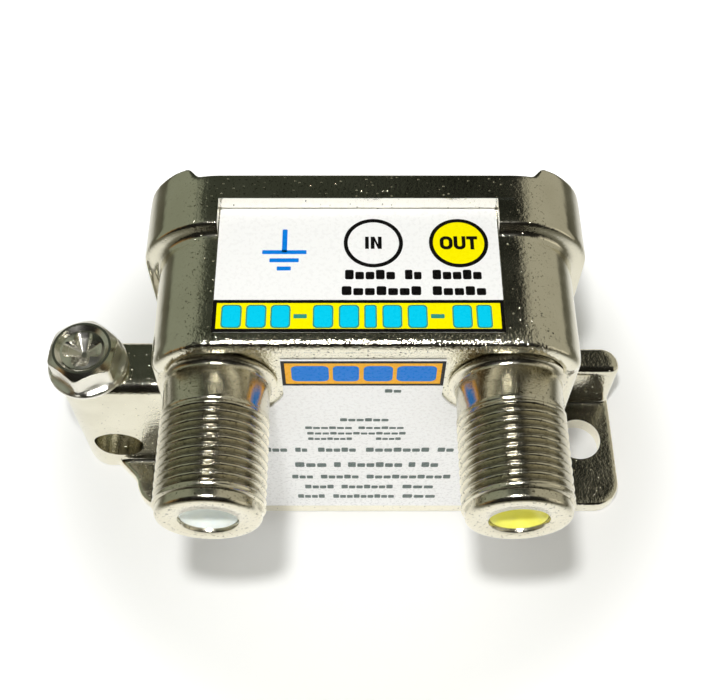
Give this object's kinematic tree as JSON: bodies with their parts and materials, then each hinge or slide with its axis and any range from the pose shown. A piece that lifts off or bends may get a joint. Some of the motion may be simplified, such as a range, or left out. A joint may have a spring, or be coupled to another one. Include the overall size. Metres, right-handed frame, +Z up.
{
  "type": "coax lightning arrestor",
  "caption": "Cast grounding block with a pair of threaded coax ports on one wall, a mounting foot, a ground-wire lug with its clamp screw, and a surge tube and filter board inside.",
  "frame": {"origin": "centre of the body's footprint on the foot's underside, at the middle of the body's width and depth", "axes": "+Z up from the foot to the label, -Y along the ports towards the cables, +X towards the mounting hole"},
  "size_m": [0.0599, 0.0304, 0.0384],
  "materials": {
    "nickel_casting": "die-cast zinc alloy under bright nickel plating, faint cast pebble",
    "nickel_brass": "turned brass under bright nickel plating",
    "tinned_steel": "stamped tinplate, satin",
    "insulator_natural": "moulded polyethylene, natural and slightly translucent",
    "insulator_yellow": "moulded polyethylene, dyed yellow",
    "bead_ptfe": "turned white plastic",
    "spring_bronze": "rolled spring bronze",
    "board_laminate": "glass-epoxy laminate with green solder mask",
    "enamelled_copper": "enamelled copper wire",
    "chip_ceramic": "fired ceramic",
    "alumina_ceramic": "fired alumina",
    "electrode_metal": "nickel-iron alloy with a tinned wire",
    "label_vinyl": "printed gloss vinyl label",
    "plated_steel": "cold-headed steel, bright plated"
  },
  "bodies": {
    "block": {"housing": "nickel_casting", "cover_plate": "tinned_steel", "port_barrel_in": "nickel_brass", "port_barrel_out": "nickel_brass", "insulator_in": "insulator_natural", "insulator_out": "insulator_yellow", "contact_in": "spring_bronze", "contact_out": "spring_bronze", "rear_bead_in": "bead_ptfe", "rear_bead_out": "bead_ptfe", "circuit_board": "board_laminate", "filter_coil_1": "enamelled_copper", "filter_coil_2": "enamelled_copper", "filter_coil_3": "enamelled_copper", "filter_coil_4": "enamelled_copper", "chip_capacitor_1": "chip_ceramic", "chip_capacitor_2": "chip_ceramic", "chip_capacitor_3": "chip_ceramic", "chip_capacitor_4": "chip_ceramic", "chip_capacitor_5": "chip_ceramic", "shield_partition": "tinned_steel", "ground_spring": "spring_bronze", "surge_tube": "alumina_ceramic", "surge_electrode_line": "electrode_metal", "surge_electrode_earth": "electrode_metal", "top_label": "label_vinyl", "front_label": "label_vinyl"},
    "screw": {"ground_screw": "plated_steel"}
  },
  "joints": [
    {"name": "screw_travel", "type": "slide", "parent": "block", "child": "screw", "axis": [0, 0, 1], "range_m": [0, 0.007]}
  ]
}
